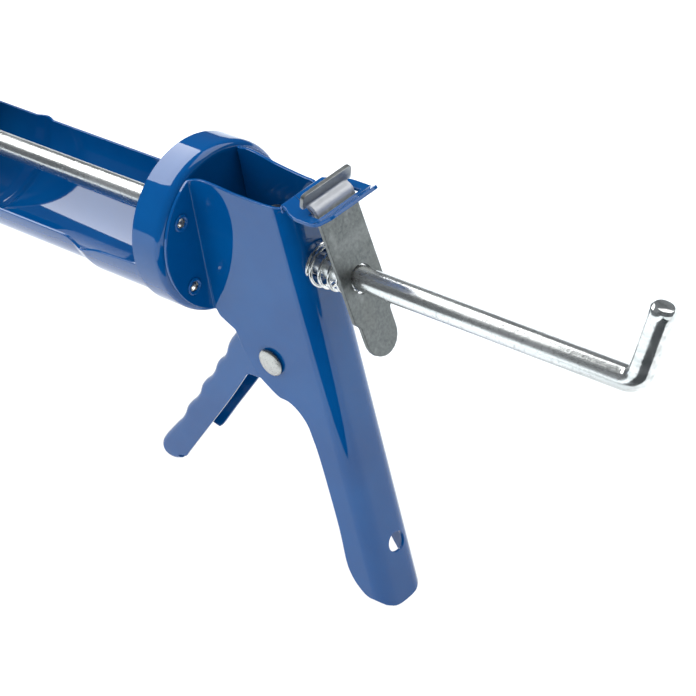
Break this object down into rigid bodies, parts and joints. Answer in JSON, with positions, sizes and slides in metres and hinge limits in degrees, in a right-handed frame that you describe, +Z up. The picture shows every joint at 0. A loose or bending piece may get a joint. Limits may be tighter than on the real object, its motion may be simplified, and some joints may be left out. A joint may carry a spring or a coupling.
{
  "type": "caulking gun",
  "caption": "Half-barrel caulking gun with a painted sheet-steel trough, collar and handle, a squeeze trigger, a hooked push rod and a thumb release plate.",
  "frame": {"origin": "on the push rod's axis, in the plane of the rear collar's front rim", "axes": "+X along the rod towards the nozzle end, +Y to the user's left, +Z up"},
  "size_m": [0.4138, 0.057, 0.163],
  "materials": {
    "blue_paint": "gloss",
    "zinc_rod": "bright zinc",
    "zinc_plate": "dull zinc",
    "rivet": "satin zinc",
    "spring_wire": "bright"
  },
  "bodies": {
    "frame": {"cradle": "blue_paint", "nose_plate": "blue_paint", "nose_rivets": "rivet", "rear_collar": "blue_paint", "collar_eyelets": "rivet", "rod_guide": "zinc_plate", "handle_frame": "blue_paint", "pivot_rivet": "rivet", "pivot_washers": "zinc_plate", "spring_seat": "zinc_plate", "drive_spring": "spring_wire", "release_spring": "spring_wire"},
    "trigger_set": {"trigger": "blue_paint", "thrust_pin": "zinc_rod"},
    "drive": {"drive_plate": "zinc_plate"},
    "release": {"release_plate": "zinc_plate"},
    "plunger": {"plunger_disc": "zinc_plate", "plunger_washer": "zinc_plate"},
    "rod": {"push_rod": "zinc_rod", "plunger_nut": "zinc_plate"}
  },
  "joints": [
    {"name": "plunger_slide", "type": "slide", "parent": "frame", "child": "plunger", "axis": [1, 0, 0], "range_m": [-0.12, 0.08]},
    {"name": "rod_spin", "type": "hinge", "parent": "plunger", "child": "rod", "pos_m": [0, 0, 0], "axis": [1, 0, 0], "continuous": true},
    {"name": "trigger_pull", "type": "hinge", "parent": "frame", "child": "trigger_set", "pos_m": [-0.0356, 0, -0.0382], "axis": [0, 1, 0], "range_deg": [0, 27], "stiffness_Nm_per_rad": 0.3, "springref_deg": -14.32},
    {"name": "drive_slide", "type": "slide", "parent": "frame", "child": "drive", "axis": [1, 0, 0], "range_m": [0, 0.0113], "deforming": ["drive_spring"]},
    {"name": "release_press", "type": "hinge", "parent": "frame", "child": "release", "pos_m": [-0.0667, 0, 0.0252], "axis": [0, -1, 0], "range_deg": [0, 2.5], "stiffness_Nm_per_rad": 0.5, "springref_deg": -5.73, "deforming": ["release_spring"]}
  ],
  "couplings": [
    {"joint": "drive_slide", "follows": "trigger_pull", "m_per_rad": 0.02378}
  ]
}
